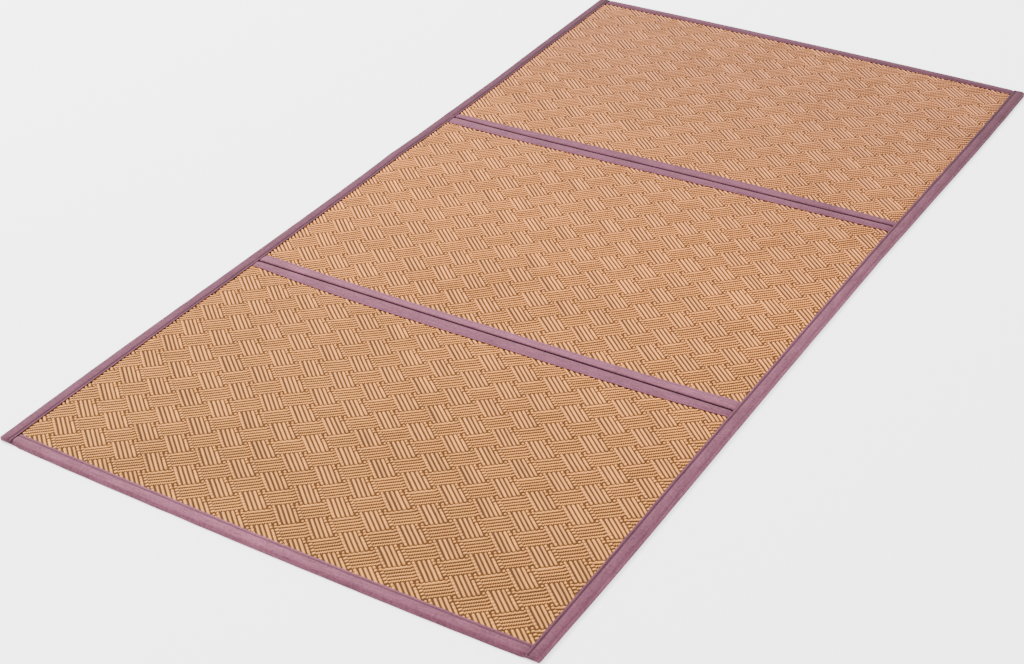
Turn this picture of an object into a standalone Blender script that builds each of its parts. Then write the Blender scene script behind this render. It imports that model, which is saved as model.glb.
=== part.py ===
# Three-fold woven floor mat with cloth binding, laid out flat.
# Metres, +Z up. +X runs across the mat and +Y along it, to the far end.
# The origin is the middle of the outline, on the surface that the mat lies on.

import bisect

import bmesh
import bpy

MM = 0.001

# Driving sizes
WIDTH = 1.000
LENGTH = 1.950
PANELS = 3
CLOTH = 1.0 * MM
GAP = 0.3 * MM
FOLD_GAP = 2.0 * MM
SEAM_IN = 5.0 * MM
END_BOW = 5.6 * MM

# Heights above the surface
BAND_TOP = 9.6 * MM
BAND_SHOULDER = 9.2 * MM
BAND_CORNER = 8.0 * MM
FACE_TOP = 6.2 * MM
FACE_FOOT = 3.0 * MM
FOOT_CORNER = 1.1 * MM
SEAM_TOP = 8.3 * MM
LIP_TOP = 9.0 * MM
LIP_EDGE = 8.7 * MM
WEAVE_TOP = 8.4 * MM

# Where a binding or a panel runs inside another binding, it is pressed thinner
TUCK_LOW = CLOTH + GAP
TUCK_HIGH = 7.0 * MM
CORNER_LOW = 2.0 * TUCK_LOW
CORNER_HIGH = 4.9 * MM

# Distances in from a binding's outer face
ROUND_OUTER = 1.2 * MM
ROUND_INNER = 4.0 * MM
SEAM_ROLL = 2.5 * MM
SEAM_ROLL_RISE = 0.75
BAND_CREST = 0.4
PANEL_INSET = 6.0 * MM
END_STOP = 8.0 * MM
PRESS_START = 6.0 * MM
PRESS_FULL = 1.0 * MM
PANEL_PRESS = 12.0 * MM

# Long edges, a row for each station along the mat, all in millimetres:
# y, then for the left edge how far it stands outside the nominal line and its
# binding's width, then the same for the right edge
SIDE_ROWS = (
    (-975, 2.0, 24.0, -1.5, 20.5),
    (-750, 3.5, 25.5, 1.0, 23.0),
    (-550, 2.5, 25.0, 0.0, 24.0),
    (-337, 0.6, 25.5, -1.7, 23.0),
    (0, 0.0, 24.5, -3.0, 22.5),
    (110, 2.6, 24.6, -3.2, 22.0),
    (240, -1.0, 24.0, -3.5, 21.5),
    (320, 0.0, 25.0, -2.0, 22.5),
    (500, -0.7, 24.0, 0.0, 22.5),
    (650, 2.5, 23.5, 2.5, 22.5),
    (800, 4.5, 23.5, 3.5, 22.0),
    (975, 7.0, 24.0, 3.0, 21.5),
)
LEFT_OUT, LEFT_WIDTH, RIGHT_OUT, RIGHT_WIDTH = 1, 2, 3, 4

# Folds, a row for each station across the mat, all in millimetres: x, then for
# a fold how far its line lies past the third of the length, the width of the
# binding on its far side and the width of the binding on its near side
FAR_FOLD_ROWS = (
    (-480, -19.0, 15.0, 26.0),
    (-320, -18.0, 20.5, 24.5),
    (-160, -13.0, 23.0, 23.0),
    (0, -6.5, 23.0, 23.0),
    (160, -1.5, 22.5, 22.0),
    (320, 2.8, 20.0, 21.5),
    (480, 8.0, 15.5, 22.0),
)
NEAR_FOLD_ROWS = (
    (-480, -17.5, 21.5, 18.5),
    (-320, -16.3, 18.5, 26.0),
    (-160, -14.5, 17.5, 28.5),
    (0, -12.3, 18.0, 27.5),
    (160, -10.0, 19.0, 27.3),
    (320, -7.5, 20.5, 26.8),
    (480, -5.0, 26.0, 20.0),
)
LINE, FAR_SIDE, NEAR_SIDE = 1, 2, 3

# The ends are a little bowed, and the far one is cut longer
NEAR_END_Y = -LENGTH / 2 + 5.3 * MM
FAR_END_Y = LENGTH / 2 - 0.4 * MM
NEAR_END_WIDTH = 21.5 * MM
FAR_END_WIDTH = 23.5 * MM

# Stations along the bindings
SIDE_STEP = 0.090
CROSS_STEP = 0.080
FOLD_CREASE = ((-12.0 * MM, 0.0), (-4.0 * MM, 0.5), (0.0, 1.0), (4.0 * MM, 0.5), (12.0 * MM, 0.0))
# Rounded ends of the side bindings: distance from the end, part of the full
# height, how far the outer corner is cut back
SIDE_END_ROWS = (
    (0.0, 0.60, 4.0 * MM),
    (2.5 * MM, 0.92, 2.0 * MM),
    (7.0 * MM, 1.0, 0.6 * MM),
    (16.0 * MM, 1.0, 0.0),
)
# The left binding's lip flares where it turns down over the near end
NEAR_LEFT_FLARE = 8.0 * MM
FLARE_LENGTH = 18.0 * MM

# Panel grid: lines inside each binding, and spaces between across and along
RIM_LINES = 2
PANEL_COLUMNS = 8
PANEL_ROWS = 6
SHARP_ANGLE = 0.9

WEAVE_COLOUR = (0.66, 0.40, 0.21, 1.0)
BINDING_COLOUR = (0.39, 0.20, 0.27, 1.0)


def between(rows, place, column):
    """Smooth value of a table's column at a place along its first column, in metres."""
    keys = [row[0] * MM for row in rows]
    values = [row[column] * MM for row in rows]
    if place <= keys[0]:
        return values[0]
    if place >= keys[-1]:
        return values[-1]
    hi = bisect.bisect_right(keys, place)
    lo = hi - 1

    def slope(i):
        before = max(i - 1, 0)
        after = min(i + 1, len(keys) - 1)
        return (values[after] - values[before]) / (keys[after] - keys[before])

    span = keys[hi] - keys[lo]
    t = (place - keys[lo]) / span
    a = (1 + 2 * t) * (1 - t) ** 2 * values[lo] + t * t * (3 - 2 * t) * values[hi]
    b = t * (1 - t) ** 2 * slope(lo) - t * t * (1 - t) * slope(hi)
    return a + b * span


def mix(a, b, share):
    return a + (b - a) * share


def left_edge(y):
    return -WIDTH / 2 - between(SIDE_ROWS, y, LEFT_OUT)


def right_edge(y):
    return WIDTH / 2 + between(SIDE_ROWS, y, RIGHT_OUT)


def left_width(y):
    share = max(0.0, 1 - max(0.0, y - near_end(-WIDTH / 2)) / FLARE_LENGTH)
    return between(SIDE_ROWS, y, LEFT_WIDTH) + NEAR_LEFT_FLARE * share * share


def right_width(y):
    return between(SIDE_ROWS, y, RIGHT_WIDTH)


def near_end(x):
    return NEAR_END_Y - END_BOW * (1 - (2 * x / WIDTH) ** 2)


def far_end(x):
    return FAR_END_Y + END_BOW * (1 - (2 * x / WIDTH) ** 2)


def far_fold(x):
    return LENGTH / PANELS / 2 + between(FAR_FOLD_ROWS, x, LINE)


def near_fold(x):
    return -LENGTH / PANELS / 2 + between(NEAR_FOLD_ROWS, x, LINE)


def spaced(start, stop, step):
    """Evenly spaced places from start to stop, both included."""
    count = max(1, round(abs(stop - start) / step))
    return [mix(start, stop, i / count) for i in range(count + 1)]


def section(width, tuck=0.0, part=1.0, crease=0.0):
    """A binding's section as (distance in from its outer face, height), from the
    edge of its top lip, over the seam and the band, down the face and back below.
    tuck presses it to the height it has inside another binding, part draws it
    towards its middle, and crease flattens its band down to the seam."""
    seam = width - SEAM_IN
    band = BAND_TOP - crease * (BAND_TOP - SEAM_TOP)
    shoulder = min(BAND_SHOULDER, band)
    points = [
        (width, LIP_EDGE),
        (width - SEAM_IN / 2, LIP_TOP),
        (seam, SEAM_TOP),
        (seam - SEAM_ROLL, mix(SEAM_TOP, band, SEAM_ROLL_RISE)),
        (mix(ROUND_INNER, seam, BAND_CREST), band),
        (ROUND_INNER, shoulder),
        (ROUND_OUTER, BAND_CORNER),
        (0.0, FACE_TOP),
        (0.0, FACE_FOOT),
        (ROUND_OUTER, FOOT_CORNER),
        (ROUND_INNER, 0.0),
        (width, 0.0),
    ]
    middle = (FACE_TOP + FACE_FOOT) / 2
    pressed = (TUCK_HIGH - TUCK_LOW) / BAND_TOP
    return [
        (inward, mix(middle, mix(z, TUCK_LOW + z * pressed, tuck), part))
        for inward, z in points
    ]


def grid_mesh(bm, columns, rows):
    """A flat grid in bm, and its vertices as grid[column][row]."""
    bmesh.ops.create_grid(bm, x_segments=columns - 1, y_segments=rows - 1, size=1.0)
    grid = [[None] * rows for _ in range(columns)]
    for vert in bm.verts:
        column = round((vert.co.x + 1) / 2 * (columns - 1))
        row = round((vert.co.y + 1) / 2 * (rows - 1))
        grid[column][row] = vert
    return grid


def add_piece(bm, name, material, collection, root):
    bmesh.ops.recalc_face_normals(bm, faces=bm.faces)
    highest = max(bm.faces, key=lambda face: face.calc_center_median().z)
    if highest.normal.z < 0:
        bmesh.ops.reverse_faces(bm, faces=bm.faces)
    mesh = bpy.data.meshes.new(name)
    bm.to_mesh(mesh)
    bm.free()
    mesh.materials.append(material)
    mesh.shade_smooth()
    mesh.set_sharp_from_angle(angle=SHARP_ANGLE)
    piece = bpy.data.objects.new(name, mesh)
    collection.objects.link(piece)
    piece.parent = root
    return piece


def cloth_strip(name, rings, closed_ends, material, collection, root):
    """A binding: rings of points lofted into an open skin, then given the
    cloth's thickness on its inner side."""
    bm = bmesh.new()
    grid = grid_mesh(bm, len(rings), len(rings[0]))
    for ring, verts in zip(rings, grid):
        for point, vert in zip(ring, verts):
            vert.co = point
    if closed_ends:
        bm.faces.new(grid[0])
        bm.faces.new(grid[-1])
    piece = add_piece(bm, name, material, collection, root)
    skin = piece.modifiers.new("Cloth thickness", "SOLIDIFY")
    skin.thickness = CLOTH
    skin.offset = -1.0
    skin.use_even_offset = True
    return piece


def side_binding(name, side, edge, width_at, material, collection, root):
    """One long binding over all three panels. side is -1 on the left, 1 on the right."""
    middle = side * (WIDTH / 2 - NEAR_END_WIDTH / 2)
    ends = [far_end(middle), near_end(middle)]
    folds = [far_fold(middle), near_fold(middle)]
    margin = SIDE_END_ROWS[-1][0]
    stations = []
    stops = [ends[1] + margin]
    for fold in sorted(folds):
        stops.extend([fold + FOLD_CREASE[0][0], fold + FOLD_CREASE[-1][0]])
    stops.append(ends[0] - margin)
    for start, stop in zip(stops[0::2], stops[1::2]):
        stations.extend((y, 0.0) for y in spaced(start, stop, SIDE_STEP)[1:-1])
    for fold in folds:
        stations.extend((fold + shift, crease) for shift, crease in FOLD_CREASE)
    stations.sort()

    rings = []
    for end_line, inward in ((near_end, 1), (far_end, -1)):
        rows = []
        for distance, part, cut in SIDE_END_ROWS:
            y = end_line(middle) + inward * distance
            ring = []
            for off, z in section(width_at(y), part=part):
                off = max(off, cut)
                x = edge(y) - side * off
                ring.append((x, end_line(x) + inward * distance, z))
            rows.append(ring)
        rings.append(rows)
    body = []
    for y, crease in stations:
        ring = [(edge(y) - side * off, y, z) for off, z in section(width_at(y), crease=crease)]
        body.append(ring)
    return cloth_strip(name, rings[0] + body + rings[1][::-1], True, material, collection, root)


def cross_binding(name, line, outward, width_at, step_in, material, collection, root):
    """A binding across a panel's end. line gives its outer face, outward is 1 where
    that face looks to the far end. Both its ends run inside the side bindings, where
    it is pressed thinner and, at the mat's own ends, steps in by step_in."""
    y = line(0.0)
    left_lip = left_edge(y) + between(SIDE_ROWS, y, LEFT_WIDTH)
    right_lip = right_edge(y) - right_width(y)
    pressed = ((PRESS_FULL, 1.0), (PRESS_START, 0.0))
    stations = [(left_edge(y) + END_STOP, 1.0, False)]
    stations += [(left_lip + off, tuck, True) for off, tuck in pressed]
    opened = spaced(left_lip + PRESS_START, 0.0, CROSS_STEP)[1:]
    opened += spaced(0.0, right_lip - PRESS_START, CROSS_STEP)[1:-1]
    stations += [(x, 0.0, False) for x in opened]
    stations += [(right_lip - off, tuck, False) for off, tuck in reversed(pressed)]
    stations.append((right_edge(y) - END_STOP, 1.0, False))
    rings = []
    for place, tuck, at_left_lip in stations:
        face = line(place) - outward * step_in * tuck
        ring = []
        for off, z in section(width_at(place) - step_in * tuck, tuck):
            y = face - outward * off
            x = place
            if at_left_lip:
                x += left_width(y) - between(SIDE_ROWS, y, LEFT_WIDTH)
            ring.append((x, y, z))
        rings.append(ring)
    return cloth_strip(name, rings, False, material, collection, root)


def rail(low, high, low_width, high_width, count):
    """Places of a panel's grid lines between two outer faces: two in each binding,
    one where the weave reaches its full height, and count spaces between."""
    inner_low = low + low_width + PANEL_PRESS
    inner_high = high - high_width - PANEL_PRESS
    places = [low + PANEL_INSET, low + low_width + PRESS_FULL]
    places += [mix(inner_low, inner_high, i / count) for i in range(count + 1)]
    places += [high - high_width - PRESS_FULL, high - PANEL_INSET]
    return places


def place_key(vert):
    return round(vert.co.x, 4), round(vert.co.y, 4)


def woven_panel(name, near, far, near_width, far_width, material, collection, root):
    """A panel with its rims pressed thin where the bindings hold them."""
    columns = PANEL_COLUMNS + 1 + 2 * RIM_LINES
    rows = PANEL_ROWS + 1 + 2 * RIM_LINES
    bm = bmesh.new()
    grid = grid_mesh(bm, columns, rows)
    made = bmesh.ops.extrude_face_region(bm, geom=bm.faces[:])["geom"]
    lower = {place_key(item): item for item in made if isinstance(item, bmesh.types.BMVert)}
    levels = ((WEAVE_TOP, 0.0), (TUCK_HIGH, TUCK_LOW), (CORNER_HIGH, CORNER_LOW))

    def x_place(i, y):
        return rail(left_edge(y), right_edge(y), left_width(y), right_width(y), PANEL_COLUMNS)[i]

    def y_place(j, x):
        return rail(near(x), far(x), near_width(x), far_width(x), PANEL_ROWS)[j]

    for i in range(columns):
        for j in range(rows):
            vert = grid[i][j]
            below = lower[place_key(vert)]
            y = y_place(j, x_place(i, (near(0.0) + far(0.0)) / 2))
            x = x_place(i, y)
            y = y_place(j, x)
            in_side = not RIM_LINES <= i < columns - RIM_LINES
            in_end = not RIM_LINES <= j < rows - RIM_LINES
            top, foot = levels[in_side + in_end]
            vert.co = (x, y, top)
            below.co = (x, y, foot)
    return add_piece(bm, name, material, collection, root)


def make_material(name, colour, roughness):
    material = bpy.data.materials.new(name)
    material.use_nodes = True
    shader = material.node_tree.nodes["Principled BSDF"]
    shader.inputs["Base Color"].default_value = colour
    shader.inputs["Roughness"].default_value = roughness
    shader.inputs["Metallic"].default_value = 0.0
    return material


def column_width(rows, column):
    return lambda x: between(rows, x, column)


def beside(line, offset):
    return lambda x: line(x) + offset


def build():
    for thing in list(bpy.data.objects):
        bpy.data.objects.remove(thing, do_unlink=True)
    collection = bpy.data.collections.new("tatami_mat")
    bpy.context.scene.collection.children.link(collection)
    root = bpy.data.objects.new("mat_origin", None)
    collection.objects.link(root)
    weave = make_material("woven_face", WEAVE_COLOUR, 0.6)
    cloth = make_material("binding_cloth", BINDING_COLOUR, 0.75)

    half_gap = FOLD_GAP / 2
    far_fold_upper = beside(far_fold, half_gap)
    far_fold_lower = beside(far_fold, -half_gap)
    near_fold_upper = beside(near_fold, half_gap)
    near_fold_lower = beside(near_fold, -half_gap)
    far_upper = column_width(FAR_FOLD_ROWS, FAR_SIDE)
    far_lower = column_width(FAR_FOLD_ROWS, NEAR_SIDE)
    near_upper = column_width(NEAR_FOLD_ROWS, FAR_SIDE)
    near_lower = column_width(NEAR_FOLD_ROWS, NEAR_SIDE)

    def far_width(x):
        return FAR_END_WIDTH

    def near_width(x):
        return NEAR_END_WIDTH

    panels = (
        ("woven_panel_far", far_fold_upper, far_end, far_upper, far_width),
        ("woven_panel_middle", near_fold_upper, far_fold_lower, near_upper, far_lower),
        ("woven_panel_near", near_end, near_fold_lower, near_width, near_lower),
    )
    crosses = (
        ("end_binding_far", far_end, 1, far_width, CLOTH + GAP),
        ("fold_binding_far_upper", far_fold_upper, -1, far_upper, 0.0),
        ("fold_binding_far_lower", far_fold_lower, 1, far_lower, 0.0),
        ("fold_binding_near_upper", near_fold_upper, -1, near_upper, 0.0),
        ("fold_binding_near_lower", near_fold_lower, 1, near_lower, 0.0),
        ("end_binding_near", near_end, -1, near_width, CLOTH + GAP),
    )
    sides = (
        ("side_binding_left", -1, left_edge, left_width),
        ("side_binding_right", 1, right_edge, right_width),
    )
    pieces = [woven_panel(*row, weave, collection, root) for row in panels]
    pieces += [cross_binding(*row, cloth, collection, root) for row in crosses]
    pieces += [side_binding(*row, cloth, collection, root) for row in sides]

    # The origin goes to the middle of the outline
    for axis in (0, 1):
        reach = [vert.co[axis] for piece in pieces for vert in piece.data.vertices]
        root.location[axis] = -(min(reach) + max(reach)) / 2


build()
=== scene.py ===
"""Looks of the three-fold woven mat: the weave, the sewn bindings and the photograph's view.

Metres, +Z up, in the frame's own axes. Tables give millimetres where they say so.
"""

import math

import bpy
import numpy as np
from mathutils import Matrix, Vector


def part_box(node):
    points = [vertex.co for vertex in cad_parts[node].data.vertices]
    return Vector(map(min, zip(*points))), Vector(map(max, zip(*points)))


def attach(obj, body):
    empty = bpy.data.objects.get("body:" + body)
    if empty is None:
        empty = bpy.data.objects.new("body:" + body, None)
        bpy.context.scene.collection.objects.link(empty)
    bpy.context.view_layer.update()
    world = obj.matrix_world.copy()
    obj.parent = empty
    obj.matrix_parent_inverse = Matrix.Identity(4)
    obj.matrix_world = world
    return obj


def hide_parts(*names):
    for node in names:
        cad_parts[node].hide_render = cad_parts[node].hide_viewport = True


MM = 0.001

# The photograph's camera
CAMERA_TARGET = (0.04433, -0.30578, 0.0)
CAMERA_AZIMUTH = 0.57322
CAMERA_ELEVATION = 0.58880
CAMERA_ROLL = -0.031245
CAMERA_DISTANCE = 3.17392
CAMERA_LENS = 65.22

# How many waves smooth noise adds up, and where its seeds start and how far they are apart
NOISE_WAVES = 6
BINDING_SEED, BINDING_SEEDS = 110, 10
WEAVE_SEED, WEAVE_SEEDS = 1000, 100

# Bindings: stations along them, and where the folds and ends change their shape
STATION = 4.0 * MM
STATION_INSET = 0.02 * MM
CLOSE_STATIONS = (0.8 * MM, 2.0 * MM)
LINE_SOFTEN = 8.0 * MM
SEAM_IN = 5.0 * MM
TUCK_LOW = 1.3 * MM
TUCK_HIGH = 7.5 * MM
BAND_TOP = 9.6 * MM
OVER_TOP = 0.5
BAND_START = 1.5 * MM
UPPER_FROM = 5.0 * MM
UPPER_REACH = 2.5 * MM
PRESS_FULL = 1.0 * MM
PRESS_START = 3.4 * MM
FACE_MIDDLE = 4.6 * MM
CREASE_DROP = 1.5 * MM
CREASE_REACH = 9.0 * MM
# Past its last stations a side binding runs on straight: how much is left out, and how
# much of the rest gives the slope
END_REACH = 20.0 * MM
END_BASE = 120.0 * MM
# From a side binding's end, in millimetres: distance, share of the height, cut off the
# face, and how far the fold is shut
END_ROWS = (
    (0.0, 0.74, 2.4, 1),
    (0.8, 0.87, 1.5, 1),
    (2.0, 0.95, 0.8, 1),
    (4.0, 1.0, 0.3, 0),
    (8.0, 1.0, 0.0, 0),
)
FLARE = 1.9 * MM
# At a fold the two faces stand out less and meet low down
FOLD_FLARE = 0.62
FOLD_WAVE = 0.2
# Ripples of the cloth: wavelength, how much quicker they change across than along, height
WRINKLE = (0.022, 1.5, 0.12 * MM)
SWELL = (0.09, 1.0, 0.14 * MM)
PUCKER = (0.0125, 0.3, 0.16 * MM)
WANDER = (0.035, 0.0, 0.35 * MM)
FACE_WAVE = (0.07, 0.0, 0.25 * MM)
PUCKER_REACH = 3.2 * MM

# Sections in millimetres: share of the binding's width and an offset, which add up to
# the distance in from its outer face, then the height
OUTER_SECTION = (
    (1, -0.2, 8.05),
    (1, 0.0, 8.45),
    (1, -0.5, 8.85),
    (1, -1.6, 9.05),
    (1, -2.9, 9.0),
    (1, -4.1, 8.65),
    (1, -5.0, 8.2),
    (1, -5.9, 8.6),
    (1, -7.3, 9.05),
    (0.75, -2.75, 9.4),
    (0.55, -0.95, 9.58),
    (0.35, 0.85, 9.6),
    (0.18, 2.4, 9.5),
    (0, 4.0, 9.25),
    (0, 2.6, 8.85),
    (0, 1.5, 8.2),
    (0, 0.7, 7.4),
    (0, 0.2, 6.5),
    (0, -0.2, 5.4),
    (0, -0.8, 3.8),
    (0, -1.3, 2.6),
    (0, -1.7, 1.5),
    (0, -1.8, 0.7),
    (0, -1.4, 0.15),
    (0, 0.2, 0.0),
    (0.5, 0.0, 0.0),
    (1, 0.0, 0.0),
)
INNER_SECTION = (
    (1, 0.0, 0.9),
    (0.5, 0.0, 0.9),
    (0, 4.0, 0.95),
    (0, 2.0, 1.8),
    (0, 1.05, 3.2),
    (0, 1.0, 6.2),
    (0, 1.9, 7.7),
    (0, 4.0, 8.35),
    (0.45, 0.0, 8.65),
    (1, -7.0, 8.1),
    (1, -5.0, 7.3),
    (1, -3.0, 7.9),
    (1, -1.0, 7.7),
)

# How dark the cloth is painted in the seam, on its outer face and at its lip, by the kind
# of binding: painted shade in the seam's groove, standing also for its dark thread; painted
# shade on the outer face of ends, painted light on that of sides, and deep painted shade in a
# fold; a painted shadow along the lip
SEAM_DARK = 1.7 * MM
FACE_DARK = 2.4 * MM
LIP_DARK = 1.1 * MM
# Painted shade at the middle of each binding's closed ends
END_PAINTED_SHADE = 0.85
CLOTH_PAINTED_SHADING = {"side": (0.32, 1.35, 0.35), "end": (0.52, 0.80, 0.70), "fold": (1.0, 0.12, 0.50)}
SEAM_FILL = {"side": 0.0, "end": 0.0, "fold": 0.9 * MM}
FILL_REACH = 1.6 * MM
# Painted light and shade on each binding's cloth as a whole, lighter and darker as the light
# falls on it: how light it is near its start, at its middle and near its end
BAND_PLACES = (0.05, 0.50, 0.95)
BAND_PAINTED_LIGHTING = {
    "side_binding_left": (0.72, 0.60, 0.44),
    "side_binding_right": (0.73, 0.90, 0.44),
    "end_binding_near": (1.00, 1.24, 0.86),
    "end_binding_far": (0.62, 0.59, 0.51),
    "fold_binding_near_lower": (0.93, 0.94, 0.88),
    "fold_binding_near_upper": (1.14, 1.26, 1.12),
    "fold_binding_far_lower": (0.86, 0.85, 0.78),
    "fold_binding_far_upper": (0.84, 0.84, 0.76),
}

# Stitches in the seam, which is the section's lowest point between its lip and its band
SEAM_POINT = 6
STITCH_PITCH = 3.6 * MM
STITCH_LENGTH = 2.7 * MM
STITCH_RADIUS = 0.28 * MM
STITCH_RISE = 0.35 * MM
STITCH_SIDES = 4
STITCH_END = 6.0 * MM
# Along a stitch: share of its length, of its rise and of its radius
STITCH_ROWS = ((0.0, -0.2, 0.6), (0.5, 1.0, 1.0), (1.0, -0.2, 0.6))

# Panels: the flat core under the strips
CORE_TOP = 7.9 * MM
CORE_PRESSED = 6.8 * MM
CORE_CORNER = (2.6 * MM, 4.4 * MM)
CORE_INSET = 6.0 * MM
PRESS_REACH = 12.0 * MM
CORE_RIM = (1.0, 3.5, 6.0, 9.0, 12.0)
CORE_SPACES = (26, 18)
CORE_ROUNDS = 3
IN_BINDING = 2
CORNER_RADIUS = 9.0 * MM

# Weave: six strips a block, in blocks turned by a quarter
BLOCK = 6
STRIP_RISE = 1.4 * MM
STRIP_FOOT = -0.15 * MM
HALF_WIDTH = 2.5 * MM
CORD_HALF_WIDTH = 2.75 * MM
BEAD_HALF_WIDTH = 2.5 * MM
CORD_BEAD_HALF_WIDTH = 2.6 * MM
UNDER_HALF_WIDTH = 2.9 * MM
LIP_TUCK = 1.5 * MM
LIP_REACH = 13.5 * MM
LIP_FALL = 4.0 * MM
CELL_MARGIN = 80.0 * MM
# How the strips lie unevenly, as ripples
DRIFT = (0.28, 1.0, 1.2 * MM)
JITTER = (0.03, 1.0, 0.12 * MM)
UNEVEN = (0.02, 1.0, 0.08)
# How light a strip is: a floor, the share of chance in it and that of its painted light and
# shade, then how much of the chance all of a strip has in common
TONE_FLOOR = 0.05
TONE_CHANCE = 0.2
TONE_SHADE = 0.7
STRIP_CHANCE = 0.55
TONE_COUNT = 4096
# The round bead where four blocks meet
EYE_SIDES = 8
EYE_RADIUS = 2.6 * MM
EYE_INNER = 0.6
EYE_RISES = (0.9, 1.1)
# Painted shade around the eye's foot, a painted highlight on its crown
EYE_SHADES = (0.3, 1.1)
# A strip's section: share of the half width, share of the rise, and how light it is, as
# painted highlights along the crest and painted shade at the feet
ROUNDED = ((-1.0, 0.0, 0.32), (-0.27, 0.95, 0.99), (0.27, 0.95, 0.99), (1.0, 0.0, 0.32))
RIDGED = ((-1.0, 0.0, 0.20), (0.0, 1.0, 1.44), (1.0, 0.0, 0.20))
BROAD = ((-1.0, 0.0, 0.38), (-0.5, 0.92, 1.05), (0.5, 0.92, 1.05), (1.0, 0.0, 0.38))
# Along a strip: place from -1 to 1, share of the width, share of the rise, how far it sways
# in millimetres and how light it is, as painted highlights on beads and ends and painted
# shade in necks, notches and on the strips lying beneath
UNDER_RINGS = (
    (-1.0, 0.9, 0.5, 0, 0.6),
    (-0.5, 1.0, 0.5, 0, 0.6),
    (0.5, 1.0, 0.5, 0, 0.6),
    (1.0, 0.9, 0.5, 0, 0.6),
)
CORD_UNDER_RINGS = (
    (-1.0, 0.9, 0.6, 0, 0.7),
    (-0.5, 1.0, 0.7, 0, 0.8),
    (0.5, 1.0, 0.7, 0, 0.8),
    (1.0, 0.9, 0.6, 0, 0.7),
)
BEAD_RINGS = (
    (-1.0, 0.5, 0.1, 0, 0.25),
    (-0.42, 1.0, 1.0, 0, 1.1),
    (0.42, 1.0, 1.0, 0, 1.1),
    (1.0, 0.5, 0.1, 0, 0.25),
)
PIECE_RINGS = (
    (-1.0, 0.6, 0.1, 0, 0.6),
    (-0.4, 1.0, 0.95, 0, 1.1),
    (0.4, 1.0, 0.95, 0, 1.1),
    (1.0, 0.6, 0.1, 0, 0.6),
)
STRIP_RINGS = (
    (-1.0, 0.7, 0.2, 0, 0.8),
    (-0.94, 1.0, 0.9, 0, 1.1),
    (-0.85, 1.0, 1.0, 0, 1.0),
    (-0.3, 1.0, 1.0, 0, 1.0),
    (0.3, 1.0, 1.0, 0, 1.0),
    (0.80, 1.0, 1.0, 0, 1.0),
    (0.92, 0.98, 1.2, 0, 1.0954),
    (1.0, 0.8, 0.2, 0, 0.8),
)
NOTCHED_RINGS = (
    (-1.0, 0.6, 0.3, 0, 0.3),
    (-0.84, 1.0, 1.0, 0, 1.15),
    (-0.62, 0.8, 0.65, 0, 0.74),
    (-0.42, 1.0, 1.0, 0, 1.15),
    (-0.21, 0.86, 0.75, 0, 0.84),
    (0.0, 1.0, 1.0, 0, 1.1),
    (0.20, 0.92, 0.85, 0, 0.94),
    (0.45, 0.96, 1.0, 0, 0.9),
    (0.85, 0.94, 1.0, 0, 0.9),
    (1.0, 0.6, 0.1, 0, 0.2),
)
# A corded strip, in the weave's steps: where it ends and how long a scallop is. Then how far
# its ends sway and its sides run ahead of each other in millimetres, a neck and a bead as
# above, with painted shade in the neck and a painted highlight on the bead, and its ends'
# rings, with their places in scallops and their sway as a share
CORD_ENDS = (-6.48, 0.52)
SCALLOP = 0.5
CORD_SWAY = 1.3
SLANT = 1.7
SLANT_END = 0.97
CORD_NECK = (0.52, 0.55, 0.0, 0.27)
CORD_BEAD = (1.0, 1.0, 0.0, 1.32)
CORD_START = ((0.0, 0.8, 0.3, 1.0, 0.5), (0.7, 1.05, 0.95, 1.0, 1.2), (1.5, 0.8, 0.7, 0.5, 0.65))
CORD_STOP = ((-1.0, 0.85, 0.9, 0.5, 0.9), (-0.4, 0.95, 1.1, 1.0, 1.3), (0.0, 0.6, 0.2, 1.0, 0.5))

# Each panel with its bindings, then a block's middle and the repeat's steps across and
# along the mat, in millimetres
PANELS = (
    (
        "far",
        ("fold_binding_far_upper", "end_binding_far"),
        ((-9.3, 616.8), (64.619, 1.097), (-0.344, -55.785)),
    ),
    (
        "middle",
        ("fold_binding_near_upper", "fold_binding_far_lower"),
        ((25.2, 17.7), (63.114, 2.194), (1.714, -56.25)),
    ),
    (
        "near",
        ("end_binding_near", "fold_binding_near_lower"),
        ((10.8, -628.5), (63.713, 0.268), (0.975, -54.118)),
    ),
)
CROSS_BINDINGS = (
    ("end_binding_far", 1),
    ("fold_binding_far_upper", -1),
    ("fold_binding_far_lower", 1),
    ("fold_binding_near_upper", -1),
    ("fold_binding_near_lower", 1),
    ("end_binding_near", -1),
)
FOLDS = (
    ("fold_binding_far_upper", "fold_binding_far_lower"),
    ("fold_binding_near_upper", "fold_binding_near_lower"),
)

# The straw's ramp: painted shade at the strips' feet, then darker straw, then lighter straw that also takes
# the painted highlights on the crests
STRAW_SHADE = (0.09, 0.041, 0.015, 1)
STRAW_DARK = (0.54, 0.222, 0.056, 1)
STRAW_LIGHT = (1.05, 0.410, 0.088, 1)
CORE_COLOUR = (0.085, 0.038, 0.015, 1)
# The straw's tint along the mat: place along Y, then a share of each colour
STRAW_TINTS = (
    (-0.95, (0.70, 0.71, 0.70)),
    (-0.60, (0.79, 0.755, 0.745)),
    (0.0, (0.93, 0.825, 0.87)),
    (0.75, (0.66, 0.615, 1.07)),
)
UNDERSIDE_COLOUR = (0.52, 0.34, 0.18, 1)
CLOTH_DARK = (0.075, 0.026, 0.040, 1)
CLOTH_LIGHT = (0.225, 0.074, 0.118, 1)
THREAD_COLOUR = (0.07, 0.018, 0.035, 1)

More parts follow.
